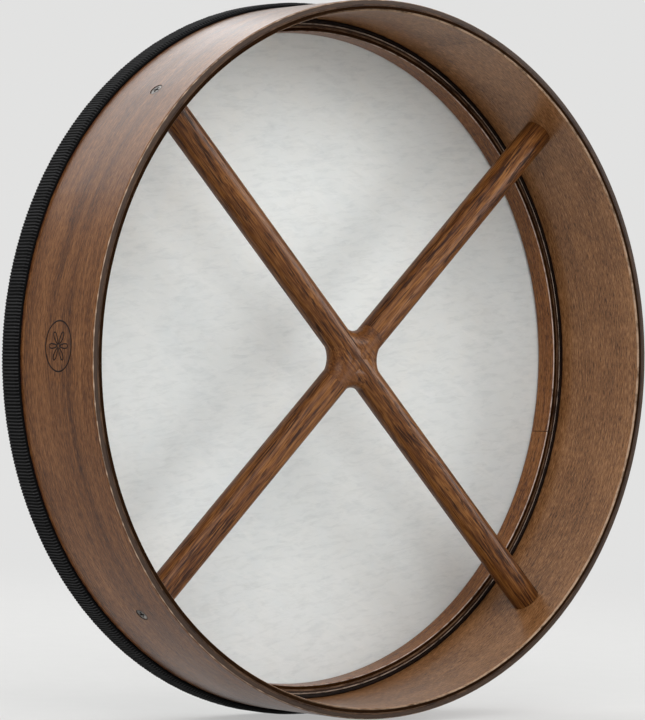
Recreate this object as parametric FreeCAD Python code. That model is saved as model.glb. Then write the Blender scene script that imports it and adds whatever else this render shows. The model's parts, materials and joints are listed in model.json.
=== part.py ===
import FreeCAD, Part
import math
import os

# Bodhran: a frame drum with an open back, standing on edge.
# The drum axis is Y, the open back faces -Y, the head faces +Y and Z is up.
# The origin is the middle of the drum's bounding box. All sizes are in mm.

# Shell: a bent hoop laminated from two dark veneers on a pale core
shell_radius = 228.6
shell_depth = 91.0
shell_outer_ply_thickness = 2.9
shell_core_ply_thickness = 1.2
shell_inner_ply_thickness = 2.9
rim_rounding = 1.5
bearing_edge_rounding = 2.4

# Inner hoop: a narrower laminated hoop behind the head, packed out with a thin strip
hoop_width = 17.0
backing_strip_thickness = 2.5
hoop_outer_ply_thickness = 2.3
hoop_core_ply_thickness = 1.0
hoop_inner_ply_thickness = 2.6
hoop_corner_rounding = 1.1
strip_corner_rounding = 0.7
hoop_joint_angle = -12.0

# Drumhead: one goatskin laid over the shell's end and folded down the outside
skin_thickness = 1.2
skin_lap_length = 15.0

# Trim: a ribbed tape over the folded skin, turned a little way on to the head
tape_thickness = 1.1
tape_width = 17.6
tape_turnover = 6.5
tape_joint_angle = -100.0

# Crossbar: two round rods crossing at right angles, half lapped in the middle
rod_diameter = 19.0
rod_axis_depth = 35.0
through_rod_angle = 135.0
web_radius = 13.0
web_thinning = 0.5

# Screws: countersunk wood screws through the shell into the rod ends
screw_head_diameter = 8.0
screw_head_depth = 2.6
screw_shank_diameter = 4.2
screw_length = 32.0
screw_tip_length = 6.0
screw_recess_width = 1.1
screw_recess_length = 4.4
screw_recess_depth = 1.6
screw_head_inset = 0.25

# Tacks: flat-headed tacks through the folded skin into the shell
tack_count = 36
tack_head_diameter = 5.2
tack_head_thickness = 0.5
tack_shank_diameter = 1.5
tack_length = 6.6
tack_tip_length = 2.0
tack_from_lap_edge = 6.0
tack_first_angle = 5.0

# Clearances
glue_line = 0.1
lay_gap = 0.25
joint_gap = 0.4
screw_fit = 0.08
tack_fit = 0.05

# Radii, worked inwards from the outside of the shell
shell_core_outer = shell_radius - shell_outer_ply_thickness - glue_line
shell_inner_outer = shell_core_outer - shell_core_ply_thickness - glue_line
wall_radius = shell_inner_outer - shell_inner_ply_thickness
strip_outer = wall_radius - glue_line
hoop_outer_outer = strip_outer - backing_strip_thickness - glue_line
hoop_core_outer = hoop_outer_outer - hoop_outer_ply_thickness - glue_line
hoop_inner_outer = hoop_core_outer - hoop_core_ply_thickness - glue_line
hoop_radius = hoop_inner_outer - hoop_inner_ply_thickness

# Radii of the layers outside the shell
lap_inner = shell_radius + lay_gap
lap_outer = lap_inner + skin_thickness
tape_inner = lap_outer + lay_gap
tape_outer = tape_inner + tape_thickness
tack_head_top = lap_outer - tack_fit

# Stations along the drum axis, from the open back to the outside of the trim
overall_depth = shell_depth + lay_gap + skin_thickness + lay_gap + tape_thickness
back_y = -overall_depth / 2
head_end_y = back_y + shell_depth
skin_inside_y = head_end_y + lay_gap
skin_outside_y = skin_inside_y + skin_thickness
tape_inside_y = skin_outside_y + lay_gap
tape_outside_y = tape_inside_y + tape_thickness
tape_edge_y = tape_outside_y - tape_width
lap_edge_y = skin_outside_y - skin_lap_length
tack_y = lap_edge_y + tack_from_lap_edge
hoop_back_y = head_end_y - hoop_width
rod_y = back_y + rod_axis_depth

# Bend radii of the layers over the bearing edge, each lying on the one below
skin_bend_inside = bearing_edge_rounding + lay_gap
skin_bend_outside = skin_bend_inside + skin_thickness
tape_bend_inside = skin_bend_outside + lay_gap
tape_bend_outside = tape_bend_inside + tape_thickness

rod_radius = rod_diameter / 2
elbow_radius = rod_radius + web_radius
screw_angles = [through_rod_angle + turn * 90 for turn in range(4)]
tack_angles = [tack_first_angle + turn * 360 / tack_count for turn in range(tack_count)]

drum_axis = FreeCAD.Vector(0, 1, 0)


def disc(radius, start_y, end_y):
    """Solid round disc on the drum axis."""
    base = FreeCAD.Vector(0, start_y, 0)
    return Part.makeCylinder(radius, end_y - start_y, base, drum_axis)


def ring(outer_radius, inner_radius, start_y, end_y):
    """Plain hoop on the drum axis."""
    return disc(outer_radius, start_y, end_y).cut(disc(inner_radius, start_y, end_y))


def rounded(solid, edge_radius, edge_y, rounding):
    """Round the circular edge of the given radius at the given station."""
    chosen = []
    for edge in solid.Edges:
        if not isinstance(edge.Curve, Part.Circle):
            continue
        same_radius = abs(edge.Curve.Radius - edge_radius) < glue_line / 2
        same_station = abs(edge.Curve.Center.y - edge_y) < glue_line / 2
        if same_radius and same_station:
            chosen.append(edge)
    return solid.makeFillet(rounding, chosen)


def turned(shape, angle):
    """Turn a shape made along +X to the given angle about the drum axis (towards +Z)."""
    copy = shape.copy()
    copy.rotate(FreeCAD.Vector(0, 0, 0), drum_axis, -angle)
    return copy


def joint_cut(angle, outer_radius, start_y, end_y):
    """Thin slot at one angle, where the ends of a bent strip meet."""
    corner = FreeCAD.Vector(0, start_y, -joint_gap / 2)
    slot = Part.makeBox(outer_radius, end_y - start_y, joint_gap, corner)
    return turned(slot, angle)


def spun(points):
    """Solid of revolution about X from points given as (distance along X, radius)."""
    corners = [FreeCAD.Vector(along, radius, 0) for along, radius in points]
    corners.append(corners[0])
    face = Part.Face(Part.makePolygon(corners))
    return face.revolve(FreeCAD.Vector(0, 0, 0), FreeCAD.Vector(1, 0, 0), 360)


def screw_outline(fit):
    """Points of a screw lying along X, from its tip to the rim of its head."""
    top = shell_radius - screw_head_inset
    tip = top - screw_length
    shank = screw_shank_diameter / 2 + fit
    head = screw_head_diameter / 2 + fit
    return [
        (tip - fit, 0),
        (tip + screw_tip_length, shank),
        (top - screw_head_depth, shank),
        (top, head),
    ]


def screw_blank():
    """One screw along X, before its recess is cut."""
    top = shell_radius - screw_head_inset
    blank = spun(screw_outline(0) + [(top, 0)])
    blank.translate(FreeCAD.Vector(0, rod_y, 0))
    return blank


def screw_hole():
    """Hole for one screw, open through the outside of the shell."""
    mouth = shell_radius + screw_head_inset
    head = screw_head_diameter / 2 + screw_fit
    hole = spun(screw_outline(screw_fit) + [(mouth, head), (mouth, 0)])
    hole.translate(FreeCAD.Vector(0, rod_y, 0))
    return hole


def tack(fit, mouth):
    """One tack along X, grown by a fit and running out to the mouth; a grown tack is its hole."""
    head_bottom = tack_head_top - tack_head_thickness - fit
    tip = tack_head_top - tack_length
    shank = tack_shank_diameter / 2 + fit
    head = tack_head_diameter / 2 + fit
    outline = [
        (tip - fit, 0),
        (tip + tack_tip_length, shank),
        (head_bottom, shank),
        (head_bottom, head),
        (mouth, head),
        (mouth, 0),
    ]
    blank = spun(outline)
    blank.translate(FreeCAD.Vector(0, tack_y, 0))
    return blank


def with_screw_holes(solid):
    """Cut the four countersunk screw holes."""
    holes = [turned(screw_hole(), angle) for angle in screw_angles]
    return solid.cut(holes)


def with_tack_holes(solid):
    """Cut the hole of every tack."""
    holes = [turned(tack(tack_fit, tape_inner), angle) for angle in tack_angles]
    return solid.cut(holes)


def shell_outer_ply():
    """Outer veneer, rounded at the rim and at the bearing edge."""
    ply = ring(shell_radius, shell_radius - shell_outer_ply_thickness, back_y, head_end_y)
    ply = rounded(ply, shell_radius, back_y, rim_rounding)
    ply = rounded(ply, shell_radius, head_end_y, bearing_edge_rounding)
    return with_tack_holes(with_screw_holes(ply))


def shell_core_ply():
    """Pale core between the two dark veneers."""
    inner = shell_core_outer - shell_core_ply_thickness
    ply = ring(shell_core_outer, inner, back_y, head_end_y)
    return with_tack_holes(with_screw_holes(ply))


def shell_inner_ply():
    """Inner veneer, the wall that the rods and the hoop stand against."""
    ply = ring(shell_inner_outer, wall_radius, back_y, head_end_y)
    ply = rounded(ply, wall_radius, back_y, rim_rounding)
    return with_tack_holes(with_screw_holes(ply))


def hoop_backing_strip():
    """Thin bent strip that packs the inner hoop out from the wall."""
    inner = strip_outer - backing_strip_thickness
    strip = ring(strip_outer, inner, hoop_back_y, head_end_y)
    strip = rounded(strip, strip_outer, hoop_back_y, strip_corner_rounding)
    strip = rounded(strip, inner, hoop_back_y, strip_corner_rounding)
    return strip.cut(joint_cut(hoop_joint_angle + 180, shell_radius, hoop_back_y, head_end_y))


def hoop_outer_ply():
    """Outer veneer of the inner hoop."""
    inner = hoop_outer_outer - hoop_outer_ply_thickness
    ply = ring(hoop_outer_outer, inner, hoop_back_y, head_end_y)
    ply = rounded(ply, hoop_outer_outer, hoop_back_y, hoop_corner_rounding)
    return ply.cut(joint_cut(hoop_joint_angle, shell_radius, hoop_back_y, head_end_y))


def hoop_core_ply():
    """Pale core of the inner hoop."""
    inner = hoop_core_outer - hoop_core_ply_thickness
    ply = ring(hoop_core_outer, inner, hoop_back_y, head_end_y)
    return ply.cut(joint_cut(hoop_joint_angle, shell_radius, hoop_back_y, head_end_y))


def hoop_inner_ply():
    """Inner veneer of the inner hoop, with both of its inner corners rounded."""
    ply = ring(hoop_inner_outer, hoop_radius, hoop_back_y, head_end_y)
    ply = rounded(ply, hoop_radius, hoop_back_y, hoop_corner_rounding)
    ply = rounded(ply, hoop_radius, head_end_y, hoop_corner_rounding)
    return ply.cut(joint_cut(hoop_joint_angle, shell_radius, hoop_back_y, head_end_y))


def drumhead():
    """The goatskin: a flat head, a bend over the bearing edge and a lap down the shell."""
    outside = disc(lap_outer, lap_edge_y, skin_outside_y)
    outside = rounded(outside, lap_outer, skin_outside_y, skin_bend_outside)
    inside = disc(lap_inner, lap_edge_y, skin_inside_y)
    inside = rounded(inside, lap_inner, skin_inside_y, skin_bend_inside)
    return with_tack_holes(outside.cut(inside))


def trim_tape():
    """Tape over the lap, bent over the edge on to the face of the head."""
    outside = disc(tape_outer, tape_edge_y, tape_outside_y)
    outside = rounded(outside, tape_outer, tape_outside_y, tape_bend_outside)
    inside = disc(tape_inner, tape_edge_y, tape_inside_y)
    inside = rounded(inside, tape_inner, tape_inside_y, tape_bend_inside)
    face_hole = disc(tape_outer - tape_turnover, tape_edge_y, tape_outside_y)
    tape = outside.cut([inside, face_hole])
    slot_reach = tape_outer + tape_thickness
    return tape.cut(joint_cut(tape_joint_angle, slot_reach, tape_edge_y, tape_outside_y))


def rod_along_x():
    """One full rod along X, its ends shaped to the wall."""
    start = FreeCAD.Vector(-shell_radius, rod_y, 0)
    rod = Part.makeCylinder(rod_radius, 2 * shell_radius, start, FreeCAD.Vector(1, 0, 0))
    return rod.common(disc(wall_radius - glue_line, rod_y - rod_diameter, rod_y + rod_diameter))


def elbow(quarter):
    """Rounded web in one corner of the cross: a rod bent through a right angle."""
    centre = FreeCAD.Vector(elbow_radius, rod_y, 0)
    tube = Part.makeCircle(rod_radius - web_thinning, centre, FreeCAD.Vector(1, 0, 0))
    pivot = FreeCAD.Vector(elbow_radius, rod_y, elbow_radius)
    bend = Part.Face(Part.Wire(tube)).revolve(pivot, drum_axis, 90)
    return turned(bend, quarter * 90)


def hub_box(reach_along_x, reach_along_z, start_y, end_y):
    """Block about the middle of the cross, used to share the lap between the rods."""
    corner = FreeCAD.Vector(-reach_along_x, start_y, -reach_along_z)
    return Part.makeBox(2 * reach_along_x, end_y - start_y, 2 * reach_along_z, corner)


def lapped_rod(own_half_starts, own_half_ends, own_reach, other_reach):
    """A rod along X with its share of the hub, and the other rod's share cut away."""
    rod = rod_along_x()
    low = rod_y - rod_diameter
    high = rod_y + rod_diameter
    cross = rod.fuse([turned(rod_along_x(), 90)] + [elbow(quarter) for quarter in range(4)])
    share = cross.common(hub_box(own_reach, other_reach, own_half_starts, own_half_ends))
    arms = rod.cut(hub_box(elbow_radius, elbow_radius, low, high))
    return arms.fuse(share).removeSplitter()


def crossbar_rod(on_back_half):
    """Rod along X that keeps one half of the lap, drilled for its two screws."""
    if on_back_half:
        starts = rod_y - rod_diameter
        ends = rod_y - glue_line / 2
    else:
        starts = rod_y + glue_line / 2
        ends = rod_y + rod_diameter
    rod = lapped_rod(starts, ends, elbow_radius, elbow_radius - glue_line)
    holes = [turned(screw_hole(), turn) for turn in (0, 180)]
    return rod.cut(holes)


def crossbar_through():
    """Rod that runs through unbroken on the player's side."""
    return turned(crossbar_rod(True), through_rod_angle)


def crossbar_lapped():
    """Rod that passes behind it, on the head side of the lap."""
    return turned(crossbar_rod(False), through_rod_angle + 90)


def crossbar_screws():
    """Four countersunk screws with a cross recess."""
    screw = screw_blank()
    top = shell_radius - screw_head_inset
    floor = top - screw_recess_depth
    half_width = screw_recess_width / 2
    half_length = screw_recess_length / 2
    upright = FreeCAD.Vector(floor, rod_y - half_width, -half_length)
    level = FreeCAD.Vector(floor, rod_y - half_length, -half_width)
    reach = screw_recess_depth + screw_head_inset
    slots = [
        Part.makeBox(reach, screw_recess_width, screw_recess_length, upright),
        Part.makeBox(reach, screw_recess_length, screw_recess_width, level),
    ]
    screw = screw.cut(slots)
    return Part.makeCompound([turned(screw, angle) for angle in screw_angles])


def skin_tacks():
    """Ring of tacks through the lap."""
    return Part.makeCompound([turned(tack(0, tack_head_top), angle) for angle in tack_angles])


subparts = {
    "shell_outer_ply": shell_outer_ply,
    "shell_core_ply": shell_core_ply,
    "shell_inner_ply": shell_inner_ply,
    "hoop_backing_strip": hoop_backing_strip,
    "hoop_outer_ply": hoop_outer_ply,
    "hoop_core_ply": hoop_core_ply,
    "hoop_inner_ply": hoop_inner_ply,
    "drumhead": drumhead,
    "skin_tacks": skin_tacks,
    "trim_tape": trim_tape,
    "crossbar_through": crossbar_through,
    "crossbar_lapped": crossbar_lapped,
    "crossbar_screws": crossbar_screws,
}

os.makedirs("parts", exist_ok=True)
for name, make in subparts.items():
    shape = make()
    shape.exportStep("parts/" + name + ".step")
    print(name, len(shape.Solids), "solids", round(shape.Volume / 1000, 2), "cm3", shape.isValid())
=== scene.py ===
import json
import math

import bmesh
import bpy
from mathutils import Matrix, Vector, noise

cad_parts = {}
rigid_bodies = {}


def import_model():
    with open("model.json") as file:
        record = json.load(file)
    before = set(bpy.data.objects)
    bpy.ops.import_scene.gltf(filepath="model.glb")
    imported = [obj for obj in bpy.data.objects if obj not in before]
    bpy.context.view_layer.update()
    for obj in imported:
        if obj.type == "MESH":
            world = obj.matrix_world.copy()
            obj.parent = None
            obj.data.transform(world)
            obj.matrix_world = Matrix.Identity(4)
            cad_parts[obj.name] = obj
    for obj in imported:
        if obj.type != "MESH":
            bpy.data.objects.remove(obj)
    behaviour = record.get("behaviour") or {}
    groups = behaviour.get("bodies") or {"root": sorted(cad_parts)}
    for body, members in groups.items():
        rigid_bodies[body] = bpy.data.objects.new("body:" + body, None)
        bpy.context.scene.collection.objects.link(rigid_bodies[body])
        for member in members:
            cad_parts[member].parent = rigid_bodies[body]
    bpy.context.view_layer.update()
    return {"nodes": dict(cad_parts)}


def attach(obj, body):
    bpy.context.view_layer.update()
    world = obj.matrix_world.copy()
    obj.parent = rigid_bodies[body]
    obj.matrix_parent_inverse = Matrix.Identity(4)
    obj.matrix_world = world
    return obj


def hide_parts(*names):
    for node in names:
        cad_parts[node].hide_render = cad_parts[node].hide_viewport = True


# start from an empty file, then bring the drum in
for leftover in list(bpy.data.objects):
    bpy.data.objects.remove(leftover, do_unlink=True)
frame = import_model()
cadParts = frame["nodes"]
mm = 0.001
print("drum frame loaded:", len(cadParts), "parts")


# small helpers for building finishes

def feed(tree, socket, value):
    # a socket gets either a link or a plain value
    if isinstance(value, bpy.types.NodeSocket):
        tree.links.new(value, socket)
    else:
        socket.default_value = value


def put(tree, kind, sockets=None, **settings):
    node = tree.nodes.new("ShaderNode" + kind)
    for name, value in settings.items():
        setattr(node, name, value)
    for name, value in (sockets or {}).items():
        feed(tree, node.inputs[name], value)
    return node


def newFinish(name):
    finish = bpy.data.materials.new(name)
    finish.use_nodes = True
    tree = finish.node_tree
    tree.nodes.clear()
    shader = put(tree, "BsdfPrincipled")
    out = put(tree, "OutputMaterial", {"Surface": shader.outputs["BSDF"]})
    out.target = "ALL"
    return finish, tree, shader


def calc(tree, operation, first, second=0.0, third=0.0, clamp=False):
    node = put(tree, "Math", operation=operation, use_clamp=clamp)
    for place, value in enumerate((first, second, third)):
        feed(tree, node.inputs[place], value)
    return node.outputs[0]


def fromXyz(tree, x, y, z):
    return put(tree, "CombineXYZ", {"X": x, "Y": y, "Z": z}).outputs[0]


def stretched(tree, vector, scales):
    # same coordinates, drawn out by a different amount along each axis
    node = put(tree, "VectorMath", operation="MULTIPLY")
    feed(tree, node.inputs[0], vector)
    node.inputs[1].default_value = scales
    return node.outputs[0]


def noiseOf(tree, vector, scales, detail=3.0, roughness=0.55, distortion=0.0):
    return put(tree, "TexNoise", {
        "Vector": stretched(tree, vector, scales), "Scale": 1.0, "Detail": detail,
        "Roughness": roughness, "Distortion": distortion}).outputs["Fac"]


def spread(tree, value, low, high, toLow=0.0, toHigh=1.0, smooth=False):
    node = put(tree, "MapRange", {"Value": value, "From Min": low, "From Max": high,
                                  "To Min": toLow, "To Max": toHigh})
    node.interpolation_type = "SMOOTHSTEP" if smooth else "LINEAR"
    node.clamp = True
    return node.outputs["Result"]


def colourRamp(tree, value, stops):
    node = put(tree, "ValToRGB", {"Fac": value})
    ramp = node.color_ramp
    while len(ramp.elements) > 1:
        ramp.elements.remove(ramp.elements[-1])
    ramp.elements[0].position, ramp.elements[0].color = stops[0][0], (*stops[0][1], 1)
    for place, colour in stops[1:]:
        ramp.elements.new(place).color = (*colour, 1)
    return node.outputs["Color"]


def blendColours(tree, amount, first, second):
    node = put(tree, "Mix", data_type="RGBA")
    feed(tree, node.inputs[0], amount)
    for place, value in ((6, first), (7, second)):
        feed(tree, node.inputs[place], (*value, 1) if isinstance(value, tuple) else value)
    return node.outputs[2]


def bumped(tree, height, distance, strength=1.0):
    return put(tree, "Bump", {"Height": height, "Distance": distance,
                              "Strength": strength}).outputs["Normal"]


def dress(partName, finish):
    # a part that keeps its own shape only gets a new finish
    part = cadParts[partName]
    for place in part.material_slots:
        place.material = finish


# bent plies: the shell and the hoop

def hoopCoordinates(tree, radius, seamTurn):
    # x runs round the hoop, y through its depth, z outward; all in metres
    place = put(tree, "TexCoord").outputs["Object"]
    turned = put(tree, "Mapping", {"Vector": place, "Rotation": (0, math.radians(seamTurn), 0)})
    xyz = put(tree, "SeparateXYZ", {"Vector": turned.outputs[0]}).outputs
    angle = calc(tree, "ARCTAN2", xyz[2], xyz[0])
    flat = calc(tree, "SQRT", calc(tree, "ADD", calc(tree, "MULTIPLY", xyz[0], xyz[0]),
                                   calc(tree, "MULTIPLY", xyz[2], xyz[2])))
    return calc(tree, "MULTIPLY", angle, radius), xyz[1], flat


shellOutside = {
    "radius": 0.2286, "seamTurn": 95.0, "shift": 0.0,
    "dark": (0.034, 0.010, 0.002), "middle": (0.116, 0.041, 0.010), "light": (0.236, 0.102, 0.036),
    "figure": 0.95, "streaks": 0.95, "hairs": 1.7, "blotches": 0.30, "pores": 0.45,
    "fineness": 1.3, "roughness": 0.44, "gloss": 0.08,
    "lacquer": 0.78, "lacquerRough": 0.27, "lacquerIor": 1.2,
    # pale line on the rounded corner, partly rubbed wear and partly a painted highlight: side,
    # where it starts and ends, how strong
    "wearAndSheenEdge": (1, 0.27449, 0.27460, 0.85), "wearAndSheenColour": (0.46, 0.33, 0.24),
    # which side of the drum shows more of the pale line: a painted highlight on the side where the
    # corner catches the light
    "sheenSide": (1.0, 0.6),
    # the sawn back face: how dark, over which depth, and how much shine it lost; its greyish
    # colour here is partly a painted sheen
    "rimShade": 0.94, "rimDepth": (-0.0459, -0.0467), "rimColour": (0.042, 0.030, 0.024),
    "rimDulling": 0.6, "tapeLine": 1.0, "tapeEdge": (0.0276, 0.0290),
    "tapeStain": (0.055, 0.018, 0.010),
}
shellInside = {
    "radius": 0.2214, "seamTurn": 250.0, "shift": 3.7,
    "dark": (0.060, 0.020, 0.005), "middle": (0.198, 0.085, 0.029), "light": (0.350, 0.175, 0.076),
    "figure": 0.45, "streaks": 0.95, "hairs": 2.2, "blotches": 0.55, "pores": 0.45,
    "fineness": 1.5, "roughness": 0.44, "gloss": 0.18,
    "lacquer": 0.85, "lacquerRough": 0.27, "lacquerIor": 1.33,
    "wearAndSheenEdge": (-1, -0.17572, -0.17552, 0.8), "wearAndSheenColour": (0.42, 0.29, 0.20),
    "sheenSide": (0.0, 1.0),
    "rimShade": 0.97, "rimDepth": (-0.0459, -0.0467), "rimColour": (0.008, 0.0035, 0.0016),
    "rimDulling": 1.0, "tapeLine": 0.0,
}
shellMiddle = {
    "radius": 0.2250, "seamTurn": 40.0, "shift": 8.1,
    "dark": (0.014, 0.006, 0.003), "middle": (0.034, 0.016, 0.008), "light": (0.075, 0.040, 0.021),
    "figure": 1.0, "streaks": 2.0, "hairs": 2.0, "blotches": 1.0, "pores": 0.6,
    "fineness": 1.0, "roughness": 0.5, "gloss": 0.12,
    "lacquer": 0.0, "lacquerRough": 0.27, "lacquerIor": 1.33,
    "wearAndSheenEdge": None, "rimShade": 0.0, "tapeLine": 0.0,
}
# painted shade: the outer hoop ply is coloured near-black so the seams beside it read as shadowed
# gaps, and its pale corner line is a painted highlight
hoopOutside = dict(shellInside, radius=0.2187, seamTurn=12.0, shift=12.3, rimShade=0.0,
                   dark=(0.008, 0.003, 0.002), middle=(0.022, 0.009, 0.004),
                   light=(0.055, 0.026, 0.012), wearAndSheenEdge=(1, 0.19040, 0.19056, 0.95),
                   wearAndSheenColour=(0.48, 0.39, 0.32), sheenSide=(0.35, 1.0), lacquer=0.12,
                   gloss=0.1)
hoopMiddle = dict(shellMiddle, radius=0.2160, seamTurn=12.0, shift=15.9,
                  middle=(0.095, 0.050, 0.027), light=(0.160, 0.095, 0.055))
# the inner hoop ply's pale corner line is a painted highlight
hoopInside = dict(shellInside, radius=0.2126, seamTurn=12.0, shift=19.2, rimShade=0.92,
                  rimDepth=(0.02775, 0.02722),
                  dark=(0.048, 0.013, 0.003), middle=(0.165, 0.054, 0.008),
                  light=(0.280, 0.118, 0.034), lacquer=0.5, roughness=0.42,
                  streaks=1.3, wearAndSheenEdge=(-1, -0.24049, -0.24039, 1.0),
                  wearAndSheenColour=(0.44, 0.34, 0.29), sheenSide=(0.35, 1.0))
# painted shade: the backing strip is coloured near-black so the seam between hoop and wall reads
# as a shadowed gap
hoopStrip = dict(shellInside, radius=0.2200, seamTurn=12.0, shift=23.5, wearAndSheenEdge=None,
                 rimShade=0.0, dark=(0.003, 0.001, 0.001), middle=(0.006, 0.003, 0.002),
                 light=(0.016, 0.007, 0.004), lacquer=0.05, gloss=0.05)


def bentVeneer(name, look):
    finish, tree, shader = newFinish(name)
    around, depth, outward = hoopCoordinates(tree, look["radius"], look["seamTurn"])
    around = calc(tree, "ADD", around, look["shift"])
    loose = fromXyz(tree, around, depth, outward)
    # the grain wanders a little instead of running dead true
    drift = noiseOf(tree, loose, (2.6, 11.0, 11.0), 2.0, 0.5)
    sway = noiseOf(tree, loose, (17.0, 30.0, 30.0), 2.0, 0.5)
    wandered = calc(tree, "MULTIPLY_ADD", drift, 0.030, depth)
    wandered = calc(tree, "MULTIPLY_ADD", sway, 0.0030, wandered)
    grain = fromXyz(tree, around, wandered, outward)

    fine = look["fineness"]
    figure = noiseOf(tree, grain, (1.7, 62.0, 62.0), 3.0, 0.6, 0.35)
    streaks = noiseOf(tree, grain, (20.0, 560.0 * fine, 560.0 * fine), 4.0, 0.68)
    hairs = noiseOf(tree, grain, (150.0 * fine, 1000.0 * fine, 1000.0 * fine), 3.0, 0.7)
    blotches = noiseOf(tree, loose, (26.0, 34.0, 34.0), 4.0, 0.6, 0.6)
    poreField = noiseOf(tree, grain, (150.0, 2600.0, 2600.0), 1.0, 0.5)
    pores = spread(tree, poreField, 0.60, 0.72)

    tone = 0.5
    for layer, share in ((figure, "figure"), (streaks, "streaks"), (hairs, "hairs"),
                         (blotches, "blotches")):
        tone = calc(tree, "MULTIPLY_ADD", calc(tree, "SUBTRACT", layer, 0.5), look[share], tone)
    colour = colourRamp(tree, tone, [(0.12, look["dark"]), (0.50, look["middle"]),
                                     (0.92, look["light"])])
    poreDepth = calc(tree, "MULTIPLY", pores, look["pores"])
    colour = blendColours(tree, poreDepth, colour,
                          tuple(0.45 * part for part in look["dark"]))
    rough = spread(tree, streaks, 0.3, 0.7, look["roughness"] - 0.06, look["roughness"] + 0.08)

    if look["rimShade"]:
        # the sawn back face is coloured darker than the walls beside it; on the outer shell ply
        # the greyish rim colour is partly a painted sheen
        rimFace = spread(tree, depth, *look["rimDepth"], smooth=True)
        colour = blendColours(tree, calc(tree, "MULTIPLY", rimFace, look["rimShade"]),
                              colour, look["rimColour"])
    if look["wearAndSheenEdge"]:
        # and its corner is coloured pale: partly rubbed wear where the drum is handled, partly a
        # painted highlight on the rounded corner
        side, begins, ends, strong = look["wearAndSheenEdge"]
        corner = calc(tree, "MULTIPLY_ADD", outward, side, calc(tree, "MULTIPLY", depth, -1.0))
        cornerBand = spread(tree, corner, begins, ends, smooth=True)
        patchy = spread(tree, noiseOf(tree, loose, (150.0, 300.0, 300.0), 4.0, 0.7),
                        0.34, 0.56, 0.15, 1.0)
        # painted highlight: one side of the drum gets more of the pale line, the side where the
        # corner catches the light
        across = put(tree, "SeparateXYZ", {"Vector": put(tree, "TexCoord").outputs["Object"]})
        litSideWeight = spread(tree, across.outputs["X"], -0.12, 0.10, *look["sheenSide"], smooth=True)
        amount = calc(tree, "MULTIPLY", calc(tree, "MULTIPLY", cornerBand, patchy),
                      calc(tree, "MULTIPLY", litSideWeight, strong))
        colour = blendColours(tree, amount, colour, look["wearAndSheenColour"])
    if look["tapeLine"]:
        # reddish stain gathered along the edge of the tape
        band = spread(tree, depth, *look["tapeEdge"], smooth=True)
        uneven = spread(tree, noiseOf(tree, loose, (90.0, 90.0, 90.0), 3.0, 0.6), 0.30, 0.60)
        amount = calc(tree, "MULTIPLY", calc(tree, "MULTIPLY", band, uneven), look["tapeLine"])
        colour = blendColours(tree, amount, colour, look["tapeStain"])

    height = calc(tree, "MULTIPLY_ADD", pores, -0.6, streaks)
    feed(tree, shader.inputs["Base Color"], colour)
    feed(tree, shader.inputs["Roughness"], rough)
    feed(tree, shader.inputs["Normal"], bumped(tree, height, 0.00010, 0.55))
    shader.inputs["Specular IOR Level"].default_value = look["gloss"]
    shader.inputs["Coat Weight"].default_value = look["lacquer"]
    if look["rimShade"]:
        # the sawn face soaked the lacquer up, so it shines less
        for socket, share in (("Coat Weight", "lacquer"), ("Specular IOR Level", "gloss")):
            feed(tree, shader.inputs[socket], calc(
                tree, "MULTIPLY_ADD", rimFace, -look["rimDulling"] * look[share], look[share]))
    shader.inputs["Coat Roughness"].default_value = look["lacquerRough"]
    shader.inputs["Coat IOR"].default_value = look["lacquerIor"]
    return finish


for partName, finishName, look in (
        ("shell_outer_ply", "walnutStainOutside", shellOutside),
        ("shell_core_ply", "stainedCorePly", shellMiddle),
        ("hoop_outer_ply", "hoopOuterStainAndShade", hoopOutside),
        ("hoop_core_ply", "hoopCoreStain", hoopMiddle),
        ("hoop_backing_strip", "hoopStripShade", hoopStrip)):
    dress(partName, bentVeneer(finishName, look))
print("bent plies finished")


# the two crossbars

crossbars = {
    "through": {"part": "crossbar_through", "turn": -45.0, "shift": 0.83},
    "lapped": {"part": "crossbar_lapped", "turn": 45.0, "shift": 2.4},
    "dark": (0.032, 0.009, 0.002), "middle": (0.104, 0.035, 0.007), "light": (0.200, 0.082, 0.021),
    "poreColour": (0.012, 0.004, 0.002), "poreAmount": 0.75, "poreBump": 0.00020,
    # the webs: how far off the axis they start, how much grain they keep, their even tone
    "webReach": (0.0088, 0.0115), "webGrain": 0.50, "webTone": 0.46,
    "roughness": 0.42, "gloss": 0.14, "lacquer": 0.22, "lacquerRough": 0.24, "lacquerIor": 1.33,
}


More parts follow.
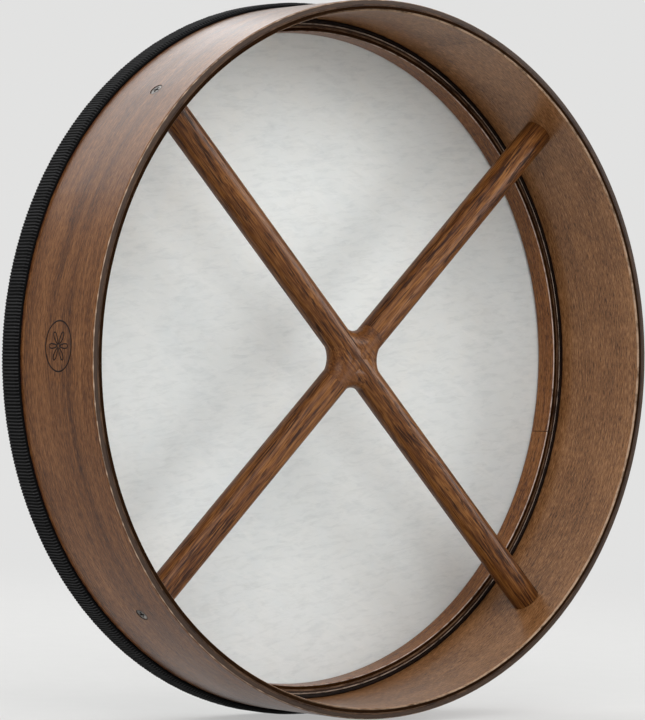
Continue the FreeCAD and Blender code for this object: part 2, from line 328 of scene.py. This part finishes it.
def rodWood(name, turn, shift, look):
    finish, tree, shader = newFinish(name)
    place = put(tree, "TexCoord").outputs["Object"]
    # after the turn, x runs along the rod
    turned = put(tree, "Mapping", {"Vector": place, "Rotation": (0, math.radians(turn), 0),
                                   "Location": (shift, 0, 0)}).outputs[0]
    drift = noiseOf(tree, turned, (5.0, 30.0, 30.0), 2.0, 0.5)
    xyz = put(tree, "SeparateXYZ", {"Vector": turned}).outputs
    grain = fromXyz(tree, xyz[0], calc(tree, "MULTIPLY_ADD", drift, 0.010, xyz[1]),
                    calc(tree, "MULTIPLY_ADD", drift, 0.014, xyz[2]))
    # growth rings cut by the round rod give long flames
    rings = noiseOf(tree, grain, (2.4, 230.0, 170.0), 2.0, 0.5, 0.3)
    lines = noiseOf(tree, grain, (13.0, 700.0, 600.0), 4.0, 0.68)
    hairs = noiseOf(tree, grain, (70.0, 1200.0, 1000.0), 2.0, 0.65)
    poreField = noiseOf(tree, grain, (60.0, 900.0, 760.0), 2.0, 0.55)
    # pores gather in the early part of every ring
    limit = spread(tree, rings, 0.36, 0.62, 0.50, 0.64)
    pores = spread(tree, calc(tree, "SUBTRACT", poreField, limit), 0.0, 0.07)
    # the webs beside the crossing were sanded smooth, so their end grain shows less
    offAxis = calc(tree, "ABSOLUTE", xyz[2])
    calm = spread(tree, offAxis, *look["webReach"], 1.0, look["webGrain"], smooth=True)
    pores = calc(tree, "MULTIPLY", pores, calm)

    tone = calc(tree, "MULTIPLY_ADD", calc(tree, "SUBTRACT", rings, 0.5), 1.0, 0.5)
    tone = calc(tree, "MULTIPLY_ADD", calc(tree, "SUBTRACT", lines, 0.5), 1.25, tone)
    tone = calc(tree, "MULTIPLY_ADD", calc(tree, "SUBTRACT", hairs, 0.5), 1.8, tone, clamp=True)
    tone = calc(tree, "MULTIPLY_ADD", calc(tree, "SUBTRACT", tone, look["webTone"]), calm,
                look["webTone"])
    colour = colourRamp(tree, tone, [(0.10, look["dark"]), (0.48, look["middle"]),
                                     (0.90, look["light"])])
    colour = blendColours(tree, calc(tree, "MULTIPLY", pores, look["poreAmount"]),
                          colour, look["poreColour"])
    rough = calc(tree, "MULTIPLY_ADD", pores, 0.30, look["roughness"], clamp=True)
    height = calc(tree, "MULTIPLY_ADD", pores, -1.0, calc(tree, "MULTIPLY", lines, 0.35))
    feed(tree, shader.inputs["Base Color"], colour)
    feed(tree, shader.inputs["Roughness"], rough)
    feed(tree, shader.inputs["Normal"], bumped(tree, height, look["poreBump"], 0.6))
    shader.inputs["Specular IOR Level"].default_value = look["gloss"]
    shader.inputs["Coat Weight"].default_value = look["lacquer"]
    shader.inputs["Coat Roughness"].default_value = look["lacquerRough"]
    shader.inputs["Coat IOR"].default_value = look["lacquerIor"]
    return finish


for side in ("through", "lapped"):
    bar = crossbars[side]
    dress(bar["part"], rodWood("rodStain" + side.capitalize(), bar["turn"], bar["shift"],
                               crossbars))
print("crossbars finished")


# screws and tacks

ironware = {
    "screwColour": (0.075, 0.068, 0.062), "screwWorn": (0.30, 0.28, 0.26), "screwRoughness": 0.38,
    "tackColour": (0.20, 0.19, 0.18), "tackWorn": (0.46, 0.44, 0.40), "tackRoughness": 0.34,
}


def darkSteel(name, colour, worn, roughness):
    finish, tree, shader = newFinish(name)
    place = put(tree, "TexCoord").outputs["Object"]
    speckle = noiseOf(tree, place, (900.0, 900.0, 900.0), 4.0, 0.65)
    rub = noiseOf(tree, place, (260.0, 260.0, 260.0), 3.0, 0.6)
    amount = spread(tree, rub, 0.50, 0.68)
    feed(tree, shader.inputs["Base Color"], blendColours(tree, amount, colour, worn))
    feed(tree, shader.inputs["Roughness"],
         spread(tree, speckle, 0.3, 0.7, roughness - 0.08, roughness + 0.14))
    feed(tree, shader.inputs["Normal"], bumped(tree, speckle, 0.00004, 0.5))
    shader.inputs["Metallic"].default_value = 0.9
    return finish


dress("crossbar_screws", darkSteel("screwSteel", ironware["screwColour"],
                                   ironware["screwWorn"], ironware["screwRoughness"]))
dress("skin_tacks", darkSteel("tackSteel", ironware["tackColour"],
                              ironware["tackWorn"], ironware["tackRoughness"]))
print("screws and tacks finished")


# helpers for shapes turned round the drum

def arcPoints(centre, radius, fromDegrees, toDegrees, steps):
    # points in the (radius, depth) plane of the drum
    points = []
    for step in range(steps + 1):
        turn = math.radians(fromDegrees + (toDegrees - fromDegrees) * step / steps)
        points.append((centre[0] + radius * math.cos(turn), centre[1] + radius * math.sin(turn)))
    return points


def linePoints(start, end, steps):
    return [(start[0] + (end[0] - start[0]) * step / steps,
             start[1] + (end[1] - start[1]) * step / steps) for step in range(steps)]


def onDrum(radius, depth, degrees):
    turn = math.radians(degrees)
    return Vector((radius * math.cos(turn), depth, radius * math.sin(turn)))


def pieceFrom(name, mesh, finish):
    # hands a finished bmesh over to the scene as one shaded object
    data = bpy.data.meshes.new(name)
    mesh.normal_update()
    mesh.to_mesh(data)
    mesh.free()
    piece = bpy.data.objects.new(name, data)
    bpy.context.scene.collection.objects.link(piece)
    piece.data.materials.append(finish)
    for face in piece.data.polygons:
        face.use_smooth = True
    return piece


# the two inner plies, turned afresh so that their eased corners run true, in millimetres
hoopPly = {
    "inside": 212.6, "outside": 215.2, "back": 27.1, "head": 44.1,
    "backCorner": 1.1, "headCorner": 2.5, "jointAngle": -12.0, "jointGap": 0.4, "segments": 540,
}
wallPly = {
    "inside": 221.4, "outside": 224.3, "back": -46.9, "head": 44.1,
    "backCorner": 1.5, "headCorner": 0.3, "jointAngle": -152.0, "jointGap": 0.08, "segments": 540,
}


def makePly(ply):
    bm = bmesh.new()
    inside, outside, back, front = ply["inside"], ply["outside"], ply["back"], ply["head"]
    small, large = ply["backCorner"], ply["headCorner"]
    section = [(outside, back), (outside - 0.6, back)]
    section += arcPoints((inside + small, back + small), small, 270, 180, 6)
    section += linePoints((inside, back + small + 1.5), (inside, front - large), 8)
    section += arcPoints((inside + large, front - large), large, 180, 90, 9)
    section += [(outside, front)]
    section += linePoints((outside, front - 2.0), (outside, back), 4)
    half = math.degrees(ply["jointGap"] / 2 / inside)
    rows = []
    for step in range(ply["segments"] + 1):
        angle = ply["jointAngle"] + half + (360 - 2 * half) * step / ply["segments"]
        rows.append([bm.verts.new(onDrum(r, y, angle) * mm) for r, y in section])
    count = len(section)
    for here, there in zip(rows, rows[1:]):
        for place in range(count):
            after = (place + 1) % count
            bm.faces.new((here[place], here[after], there[after], there[place]))
    bm.faces.new(rows[0])
    bm.faces.new(list(reversed(rows[-1])))
    bmesh.ops.recalc_face_normals(bm, faces=bm.faces)
    return bm


def keepCreases(piece, degrees):
    # edges sharper than this stay crisp
    limit = math.radians(degrees)
    bm = bmesh.new()
    bm.from_mesh(piece.data)
    for edge in bm.edges:
        edge.smooth = len(edge.link_faces) == 2 and edge.calc_face_angle(0.0) < limit
    bm.to_mesh(piece.data)
    bm.free()


for plyName, plan, finishName, look, cadName, slotName in (
        ("hoopInnerPly", hoopPly, "hoopInnerStain", hoopInside,
         "hoop_inner_ply", "hoop_veneer_inside"),
        ("shellInnerPly", wallPly, "walnutStainInside", shellInside,
         "shell_inner_ply", "shell_veneer_inside")):
    turned = pieceFrom(plyName, makePly(plan), bentVeneer(finishName, look))
    keepCreases(turned, 40)
    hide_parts(cadName)
    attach(turned, "root")
print("inner plies turned")


# goatskin head, sizes in millimetres

goatskin = {
    "insideDepth": 44.35, "thickness": 1.2, "cornerRadius": 226.2, "cornerDepth": 41.7,
    "foldInside": 2.65, "lapEdge": 30.55,
    "rings": 46, "segments": 288, "waviness": 0.16,
    "colour": (0.655, 0.680, 0.678), "warmer": (0.668, 0.670, 0.645),
    "cooler": (0.605, 0.643, 0.652),
    "fibre": (0.450, 0.480, 0.486), "wisp": (0.71, 0.725, 0.72), "fibreTurn": 8, "wispTurn": -20,
    "roughness": 0.52, "gloss": 0.35,
    # how far red, green and blue light soak into the hide, in metres
    "glow": 0.12, "glowReach": (0.0035, 0.0028, 0.0022), "glowScale": 0.6,
}


def makeGoatskin(skin):
    bm = bmesh.new()
    corner = (skin["cornerRadius"], skin["cornerDepth"])
    outer = skin["foldInside"] + skin["thickness"]
    faceY = skin["insideDepth"] + skin["thickness"]
    # rings crowd together towards the fold
    reach = [skin["cornerRadius"] * (step / skin["rings"]) ** 0.85
             for step in range(1, skin["rings"] + 1)]
    front = [(r, faceY) for r in reach] + arcPoints(corner, outer, 90, 0, 8)[1:]
    front += linePoints((corner[0] + outer, corner[1] - 1.5),
                        (corner[0] + outer, skin["lapEdge"] + 0.5), 7)
    front += arcPoints((corner[0] + outer - 0.5, skin["lapEdge"] + 0.5), 0.5, 0, -90, 3)
    rear = [(corner[0] + skin["foldInside"], skin["lapEdge"])]
    rear += linePoints((corner[0] + skin["foldInside"], skin["lapEdge"] + 1.5),
                       (corner[0] + skin["foldInside"], corner[1]), 6)
    rear += arcPoints(corner, skin["foldInside"], 0, 90, 8)
    rear += [(r, skin["insideDepth"]) for r in reversed(reach[:-1])]

    def sway(x, z, radius):
        # the head is tight, but never quite flat
        calm = max(0.0, min(1.0, (205.0 - radius) / 40.0))
        low = noise.noise(Vector((x / 75.0, z / 75.0, 0.3)))
        fine = noise.noise(Vector((x / 24.0, z / 24.0, 4.1)))
        return skin["waviness"] * calm * (low + 0.35 * fine)

    loops = []
    for r, y in front + rear:
        row = []
        for step in range(skin["segments"]):
            point = onDrum(r, y, 360.0 * step / skin["segments"])
            point.y += sway(point.x, point.z, r)
            row.append(bm.verts.new(point * mm))
        loops.append(row)
    count = skin["segments"]
    for here, there in zip(loops, loops[1:]):
        for step in range(count):
            after = (step + 1) % count
            bm.faces.new((here[step], there[step], there[after], here[after]))
    for row, depth, flip in ((loops[0], faceY, False), (loops[-1], skin["insideDepth"], True)):
        hub = bm.verts.new(Vector((0, depth + sway(0, 0, 0), 0)) * mm)
        for step in range(count):
            after = (step + 1) % count
            bm.faces.new((hub, row[after], row[step]) if flip else (hub, row[step], row[after]))
    bmesh.ops.recalc_face_normals(bm, faces=bm.faces)
    return bm


def hideFinish(skin):
    finish, tree, shader = newFinish("rawGoatskin")
    place = put(tree, "TexCoord").outputs["Object"]
    slanted = put(tree, "Mapping", {"Vector": place,
                                    "Rotation": (0, math.radians(skin["fibreTurn"]), 0)})
    crossed = put(tree, "Mapping", {"Vector": place,
                                    "Rotation": (0, math.radians(skin["wispTurn"]), 0)})
    clouds = noiseOf(tree, place, (9.0, 9.0, 9.0), 4.0, 0.55, 0.5)
    mottle = noiseOf(tree, place, (46.0, 46.0, 46.0), 4.0, 0.6, 0.4)
    fibres = noiseOf(tree, slanted.outputs[0], (70.0, 300.0, 300.0), 4.0, 0.65, 0.6)
    wisps = noiseOf(tree, crossed.outputs[0], (48.0, 230.0, 200.0), 3.0, 0.6, 0.8)
    follicles = noiseOf(tree, place, (950.0, 950.0, 950.0), 2.0, 0.5)

    colour = blendColours(tree, spread(tree, clouds, 0.34, 0.66), skin["warmer"], skin["cooler"])
    colour = blendColours(tree, spread(tree, mottle, 0.30, 0.70, 0.25, 0.85),
                          colour, skin["colour"])
    amount = spread(tree, fibres, 0.47, 0.74, 0.0, 0.42)
    colour = blendColours(tree, amount, colour, skin["fibre"])
    amount = spread(tree, wisps, 0.50, 0.78, 0.0, 0.50)
    colour = blendColours(tree, amount, colour, skin["wisp"])
    rough = spread(tree, mottle, 0.3, 0.7, skin["roughness"] - 0.07, skin["roughness"] + 0.08)
    height = calc(tree, "MULTIPLY_ADD", fibres, 0.7, calc(tree, "MULTIPLY", follicles, 0.3))
    height = calc(tree, "MULTIPLY_ADD", wisps, 0.5, height)
    feed(tree, shader.inputs["Base Color"], colour)
    feed(tree, shader.inputs["Roughness"], rough)
    feed(tree, shader.inputs["Normal"], bumped(tree, height, 0.00016, 0.5))
    shader.inputs["Subsurface Weight"].default_value = skin["glow"]
    shader.inputs["Subsurface Radius"].default_value = skin["glowReach"]
    shader.inputs["Subsurface Scale"].default_value = skin["glowScale"]
    shader.inputs["Specular IOR Level"].default_value = skin["gloss"]
    return finish


head = pieceFrom("goatskinHead", makeGoatskin(goatskin), hideFinish(goatskin))
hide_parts("drumhead")
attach(head, "root")


# ribbed tape, sizes in millimetres

ribbedTape = {
    "edgeDepth": 29.3, "insideRadius": 230.3, "outsideRadius": 231.35, "faceInside": 45.8,
    "faceDepth": 47.0, "cornerRound": 3.0, "holeRadius": 224.9, "innerFold": 4.1,
    "ribPitch": 2.12, "ribHeight": 0.55, "stepsPerRib": 8, "jointAngle": -100.0, "jointGap": 0.10,
    # the colour of the rib tops is a painted highlight
    "selvedge": 1.1, "colour": (0.0010, 0.0010, 0.0011), "crownHighlight": (0.0380, 0.0380, 0.0395),
    "roughness": 0.80, "gloss": 0.10, "weaveRadius": 231.4, "seamTurn": 100.0,
    "woodRadius": 228.7,
}


def tapeSection(tape):
    # one closed outline of (radius, depth, rib share, outward push)
    lowY, topY = tape["edgeDepth"], tape["faceDepth"]
    outer, inner = tape["outsideRadius"], tape["insideRadius"]
    ease, selvedge = tape["cornerRound"], tape["selvedge"]
    wood, hole = tape["woodRadius"], tape["holeRadius"]
    # the back edge is pulled down onto the wood, past the end of the skin's lap
    section = [(inner, lowY + 1.0, 0, (0, 0)), (wood, lowY + 1.0, 0, (0, 0)),
               (wood, lowY + 0.1, 0, (0, 0)),
               (wood + 0.7, lowY - 0.02, 0.1, (0, 0))]
    # then it climbs over the lap to its full height
    for part in (0.0, 0.10, 0.22, 0.36, 0.52, 0.68, 0.84, 1.0):
        rise = part * part * (3 - 2 * part)
        section.append((wood + 1.25 + (outer - wood - 1.25) * rise,
                        lowY + 0.2 + 2.6 * part, 0.55 if part < 0.05 else 0.95, (1, 0)))
    start = lowY + 3.2
    for step in range(7):
        y = start + (topY - ease - start) * step / 7
        section.append((outer, y, 1.0, (1, 0)))
    for x, y in arcPoints((outer - ease, topY - ease), ease, 0, 90, 7):
        push = (x - (outer - ease), y - (topY - ease))
        section.append((x, y, 1.0, (push[0] / ease, push[1] / ease)))
    end = hole + selvedge + 0.35
    for step in range(1, 3):
        section.append((outer - ease + (end - (outer - ease)) * step / 3, topY, 0.9, (0, 1)))
    section.append((end, topY, 0.9, (0, 1)))
    for part in (1.0, 0.6, 0.25):
        section.append((hole + selvedge * part, topY - 0.02,
                        0.1 if part > 0.9 else 0.35, (0, 1)))
    section.append((hole, topY - 0.35, 0.2, (-0.5, 0.3)))
    section.append((hole, tape["faceInside"], 0, (0, 0)))
    fold = tape["innerFold"]
    section.append((inner - fold, tape["faceInside"], 0, (0, 0)))
    for x, y in arcPoints((inner - fold, tape["faceInside"] - fold), fold, 90, 0, 4)[1:]:
        section.append((x, y, 0, (0, 0)))
    return section


def makeTape(tape):
    bm = bmesh.new()
    crownLayer = bm.verts.layers.float.new("ribCrown")
    section = tapeSection(tape)
    girth = 2 * math.pi * tape["outsideRadius"]
    ribs = round(girth / tape["ribPitch"])
    steps = ribs * tape["stepsPerRib"]
    halfGap = math.degrees(tape["jointGap"] / 2 / tape["outsideRadius"])
    rows = []
    for step in range(steps + 1):
        share = step / steps
        angle = tape["jointAngle"] + halfGap + (360.0 - 2 * halfGap) * share
        rib = 0.5 - 0.5 * math.cos(2 * math.pi * share * ribs)
        number = int(share * ribs + 0.5)
        # ribs are woven, so none is quite as tall as the next
        uneven = 0.86 + 0.28 * noise.noise(Vector((number * 0.73, 1.7, 0.0)))
        lift = tape["ribHeight"] * rib ** 0.7 * uneven
        row = []
        for r, y, part, push in section:
            creep = 0.10 * noise.noise(Vector((number * 0.31, y * 0.4, 6.0))) * part
            point = onDrum(r + push[0] * lift * part, y + push[1] * lift * part,
                           angle + creep * 0.25)
            vertex = bm.verts.new(point * mm)
            vertex[crownLayer] = rib * uneven * min(1.0, part + 0.1)
            row.append(vertex)
        rows.append(row)
    count = len(section)
    for here, there in zip(rows, rows[1:]):
        for place in range(count):
            after = (place + 1) % count
            bm.faces.new((here[place], here[after], there[after], there[place]))
    bm.faces.new(rows[0])
    bm.faces.new(list(reversed(rows[-1])))
    bmesh.ops.recalc_face_normals(bm, faces=bm.faces)
    return bm


def tapeFinish(tape):
    finish, tree, shader = newFinish("ribbedBlackTape")
    around, depth, outward = hoopCoordinates(tree, tape["weaveRadius"] * mm, tape["seamTurn"])
    loose = fromXyz(tree, around, depth, outward)
    warp = noiseOf(tree, loose, (180.0, 4200.0, 4200.0), 2.0, 0.6)
    fuzz = noiseOf(tree, loose, (3000.0, 3000.0, 3000.0), 2.0, 0.6)
    highlightVariation = noiseOf(tree, loose, (14.0, 60.0, 60.0), 3.0, 0.55)
    # painted highlight: the tops of the ribs are a little greyer than the valleys, where light
    # catches them
    ribTop = put(tree, "Attribute", attribute_name="ribCrown").outputs["Fac"]
    crownHighlight = spread(tree, ribTop, 0.42, 0.80, 0.0, 0.85, smooth=True)
    highlightPatches = calc(tree, "MULTIPLY", spread(tree, warp, 0.4, 0.7), 0.5)
    amount = calc(tree, "MULTIPLY", crownHighlight, calc(tree, "ADD", 0.75, calc(
        tree, "MULTIPLY", highlightPatches, highlightVariation)), clamp=True)
    feed(tree, shader.inputs["Base Color"],
         blendColours(tree, amount, tape["colour"], tape["crownHighlight"]))
    feed(tree, shader.inputs["Roughness"],
         spread(tree, fuzz, 0.3, 0.7, tape["roughness"] - 0.08, tape["roughness"] + 0.12))
    height = calc(tree, "MULTIPLY_ADD", warp, 0.8, fuzz)
    feed(tree, shader.inputs["Normal"], bumped(tree, height, 0.00012, 0.6))
    shader.inputs["Specular IOR Level"].default_value = tape["gloss"]
    return finish


tape = pieceFrom("ribbedTapeBand", makeTape(ribbedTape), tapeFinish(ribbedTape))
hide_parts("trim_tape")
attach(tape, "root")
print("ribbed tape wrapped")


# small rosette burnt into the shell, sizes in millimetres

rosette = {
    "woodRadius": 228.6, "angle": 179.6, "depth": -10.6, "lift": 0.035,
    "ringAcross": 13.4, "ringTall": 15.4, "ringLine": 0.96,
    "petals": 6, "petalReach": 9.6, "petalWidth": 1.9, "petalLine": 0.80,
    "colour": (0.006, 0.003, 0.002), "faded": (0.024, 0.010, 0.005), "gloss": 0.12,
}


def strokeOnShell(bm, path, width, place, turn):
    # a thin dark line laid along a closed path of (sideways, round) millimetres
    radius, sunk = place["woodRadius"], 0.12
    count = len(path)
    pairs = []
    for number, (x, s) in enumerate(path):
        before, after = path[number - 1], path[(number + 1) % count]
        along = Vector((after[0] - before[0], after[1] - before[1], 0)).normalized()
        side = Vector((-along.y, along.x, 0)) * width / 2
        corners = []
        for sign, level in ((1, place["lift"]), (-1, place["lift"]), (-1, -sunk), (1, -sunk)):
            angle = turn + math.degrees((s + side.y * sign) / radius)
            corners.append(onDrum(radius + level, place["depth"] + x + side.x * sign, angle))
        pairs.append([bm.verts.new(corner * mm) for corner in corners])
    for number in range(count):
        here, there = pairs[number], pairs[(number + 1) % count]
        for edge in range(4):
            nextEdge = (edge + 1) % 4
            bm.faces.new((here[edge], here[nextEdge], there[nextEdge], there[edge]))


def makeRosette(mark):
    bm = bmesh.new()
    ring = [(mark["ringAcross"] * math.cos(2 * math.pi * step / 96),
             mark["ringTall"] * math.sin(2 * math.pi * step / 96)) for step in range(96)]
    strokeOnShell(bm, ring, mark["ringLine"], mark, mark["angle"])
    for petal in range(mark["petals"]):
        turn = 2 * math.pi * petal / mark["petals"]
        outline = []
        for step in range(28):
            around = 2 * math.pi * step / 28
            along = mark["petalReach"] * (0.56 + 0.44 * math.cos(around))
            across = mark["petalWidth"] * math.sin(around) * (0.7 + 0.3 * math.cos(around))
            outline.append((along * math.cos(turn) - across * math.sin(turn),
                            along * math.sin(turn) + across * math.cos(turn)))
        strokeOnShell(bm, outline, mark["petalLine"], mark, mark["angle"])
    bmesh.ops.recalc_face_normals(bm, faces=bm.faces)
    return bm


# one finish for the burnt rosette and for the painted shade round the screws
def burnAndShadeFinish(name, mark):
    finish, tree, shader = newFinish(name)
    place = put(tree, "TexCoord").outputs["Object"]
    markMottle = noiseOf(tree, place, (700.0, 700.0, 700.0), 3.0, 0.6)
    feed(tree, shader.inputs["Base Color"], blendColours(
        tree, spread(tree, markMottle, 0.35, 0.7), mark["colour"], mark["faded"]))
    feed(tree, shader.inputs["Roughness"], spread(tree, markMottle, 0.3, 0.7, 0.5, 0.75))
    feed(tree, shader.inputs["Normal"], bumped(tree, markMottle, 0.00003, 0.4))
    shader.inputs["Specular IOR Level"].default_value = mark["gloss"]
    return finish


# painted shade: dark rings on the wood round the screw heads
screwGapShade = {
    "woodRadius": 228.6, "angles": (45, 135, 225, 315), "depth": -11.9, "lift": 0.02,
    "ringRadius": 4.22, "line": 0.42,
    "colour": (0.010, 0.005, 0.003), "faded": (0.024, 0.010, 0.005), "gloss": 0.12,
}


def makeScrewGapShade(rings):
    # painted shade: a dark ring round each screw head, standing in for the shadowed gap where the
    # head sits in the wood
    bm = bmesh.new()
    for angle in rings["angles"]:
        ring = [(rings["ringRadius"] * math.cos(2 * math.pi * step / 48),
                 rings["ringRadius"] * math.sin(2 * math.pi * step / 48)) for step in range(48)]
        strokeOnShell(bm, ring, rings["line"], rings, angle)
    bmesh.ops.recalc_face_normals(bm, faces=bm.faces)
    return bm


# the rings laid round the screws are painted shade
rings = pieceFrom("screwGapShade", makeScrewGapShade(screwGapShade), burnAndShadeFinish("paintedScrewShade", screwGapShade))
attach(rings, "root")
mark = pieceFrom("burntRosette", makeRosette(rosette), burnAndShadeFinish("burntWood", rosette))
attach(mark, "root")
print("screw rings and rosette laid on")


# floor, light and camera

studio = {
    "floorDepth": -0.2316, "flatReach": 6.5, "coveRound": 2.5, "coveHeight": 6.0,
    "floorColour": (0.70, 0.70, 0.69), "seenColour": (0.76, 0.76, 0.755), "seenShare": 0.55,
    # metres from the drum over which the floor fades, and the heights the cove glows from
    "fadeReach": (0.7, 2.5), "glowHeight": (-0.1, 1.4), "coveGlow": 0.30,
    "skyColour": (1.0, 1.0, 1.0), "skyStrength": 0.56,
    "lamps": {
        # name: direction from the drum, distance, width, height, watts
        "overheadFront": ((-0.47, -0.68, 0.56), 3.0, 2.6, 2.0, 59.0),
        "rightFront": ((0.74, -0.60, 0.28), 3.3, 1.9, 1.5, 50.0),
        "overheadBack": ((0.02, 0.72, 0.69), 2.6, 2.6, 1.7, 31.0),
    },
}


def makeFloor(plan):
    bm = bmesh.new()
    reach, bend, top = plan["flatReach"], plan["coveRound"], plan["coveHeight"]
    outline = [(0.4, 0.0), (1.0, 0.0), (3.0, 0.0)]
    for step in range(13):
        turn = math.radians(90 * step / 12)
        outline.append((reach + bend * math.sin(turn), bend - bend * math.cos(turn)))
    outline.append((reach + bend, top))
    rows = []
    for r, z in outline:
        rows.append([bm.verts.new((r * math.cos(math.radians(a)), r * math.sin(math.radians(a)),
                                   plan["floorDepth"] + z)) for a in range(0, 360, 5)])
    for here, there in zip(rows, rows[1:]):
        for step in range(len(here)):
            after = (step + 1) % len(here)
            bm.faces.new((here[step], here[after], there[after], there[step]))
    bm.faces.new(list(reversed(rows[0])))
    bmesh.ops.recalc_face_normals(bm, faces=bm.faces)
    return bm


def seenDirectly(tree):
    # 1 where the camera, a reflection or a clear surface looks straight at it
    path = put(tree, "LightPath").outputs
    return calc(tree, "MAXIMUM", path["Is Camera Ray"],
                calc(tree, "MAXIMUM", path["Is Glossy Ray"], path["Is Transmission Ray"]))


def floorFinish(plan):
    finish, tree, shader = newFinish("paleStudioFloor")
    place = put(tree, "TexCoord").outputs["Object"]
    grainy = noiseOf(tree, place, (40.0, 40.0, 40.0), 3.0, 0.5)
    feed(tree, shader.inputs["Base Color"], blendColours(
        tree, spread(tree, grainy, 0.3, 0.7), plan["floorColour"],
        tuple(0.97 * part for part in plan["floorColour"])))
    shader.inputs["Roughness"].default_value = 0.8
    shader.inputs["Specular IOR Level"].default_value = 0.2
    # the cove behind is lit like a paper tent; the floor itself isn't
    up = put(tree, "SeparateXYZ", {"Vector": place}).outputs["Z"]
    climb = spread(tree, up, *plan["glowHeight"], smooth=True)
    tent = put(tree, "Emission", {"Color": (*plan["skyColour"], 1),
                                  "Strength": calc(tree, "MULTIPLY", climb, plan["coveGlow"])})
    lit = put(tree, "AddShader", {0: shader.outputs[0], 1: tent.outputs[0]})
    glow = put(tree, "Emission", {"Color": (*plan["seenColour"], 1), "Strength": 1.0})
    # away from the drum the floor fades into the even pale background
    away = put(tree, "VectorMath", {0: place}, operation="LENGTH").outputs["Value"]
    share = spread(tree, away, *plan["fadeReach"], plan["seenShare"], 1.0, smooth=True)
    both = put(tree, "MixShader", {0: calc(tree, "MULTIPLY", seenDirectly(tree), share),
                                   1: lit.outputs[0], 2: glow.outputs[0]})
    result = next(node for node in tree.nodes if node.type == "OUTPUT_MATERIAL")
    feed(tree, result.inputs["Surface"], both.outputs[0])
    return finish


floor = pieceFrom("studioFloor", makeFloor(studio), floorFinish(studio))


def lightRoom(plan):
    world = bpy.data.worlds.new("paleRoom")
    world.use_nodes = True
    bpy.context.scene.world = world
    tree = world.node_tree
    tree.nodes.clear()
    light = put(tree, "Background", {"Color": (*plan["skyColour"], 1),
                                     "Strength": plan["skyStrength"]})
    shown = put(tree, "Background", {"Color": (*plan["seenColour"], 1), "Strength": 1.0})
    both = put(tree, "MixShader", {0: seenDirectly(tree),
                                   1: light.outputs[0], 2: shown.outputs[0]})
    put(tree, "OutputWorld", {"Surface": both.outputs[0]})


def hangLamps(plan):
    for lampName, (direction, distance, width, height, watts) in plan["lamps"].items():
        lampData = bpy.data.lights.new(lampName, "AREA")
        lampData.shape = "RECTANGLE"
        lampData.size, lampData.size_y, lampData.energy = width, height, watts
        lamp = bpy.data.objects.new(lampName, lampData)
        lamp.location = Vector(direction).normalized() * distance
        lamp.rotation_euler = (-lamp.location).to_track_quat("-Z", "Y").to_euler()
        lamp.visible_camera = False
        bpy.context.scene.collection.objects.link(lamp)


lightRoom(studio)
hangLamps(studio)
print("studio lit")

shot = {
    "azimuth": -39.33, "elevation": -0.68, "roll": 1.51, "distance": 2.335,
    "lens": 180.8, "shiftX": -0.0242, "shiftY": -0.0013, "nearest": 0.05, "farthest": 40.0,
}


def placeCamera(plan):
    azimuth, elevation = math.radians(plan["azimuth"]), math.radians(plan["elevation"])
    away = Vector((math.sin(azimuth) * math.cos(elevation),
                   -math.cos(azimuth) * math.cos(elevation), math.sin(elevation)))
    level = (-away).cross(Vector((0, 0, 1))).normalized()
    plumb = level.cross(-away)
    roll = math.radians(plan["roll"])
    across = math.cos(roll) * level + math.sin(roll) * plumb
    upward = math.cos(roll) * plumb - math.sin(roll) * level
    lensData = bpy.data.cameras.new("shopCamera")
    lensData.sensor_width = 36.0
    lensData.lens = plan["lens"]
    lensData.shift_x, lensData.shift_y = plan["shiftX"], plan["shiftY"]
    lensData.clip_start, lensData.clip_end = plan["nearest"], plan["farthest"]
    lensData.dof.use_dof = False
    camera = bpy.data.objects.new("shopCamera", lensData)
    camera.matrix_world = Matrix.Translation(away * plan["distance"]) @ Matrix(
        (across, upward, away)).transposed().to_4x4()
    bpy.context.scene.collection.objects.link(camera)
    return camera


bpy.context.scene.camera = placeCamera(shot)
bpy.context.scene.view_settings.view_transform = "Standard"
print("camera set")

bpy.context.view_layer.update()
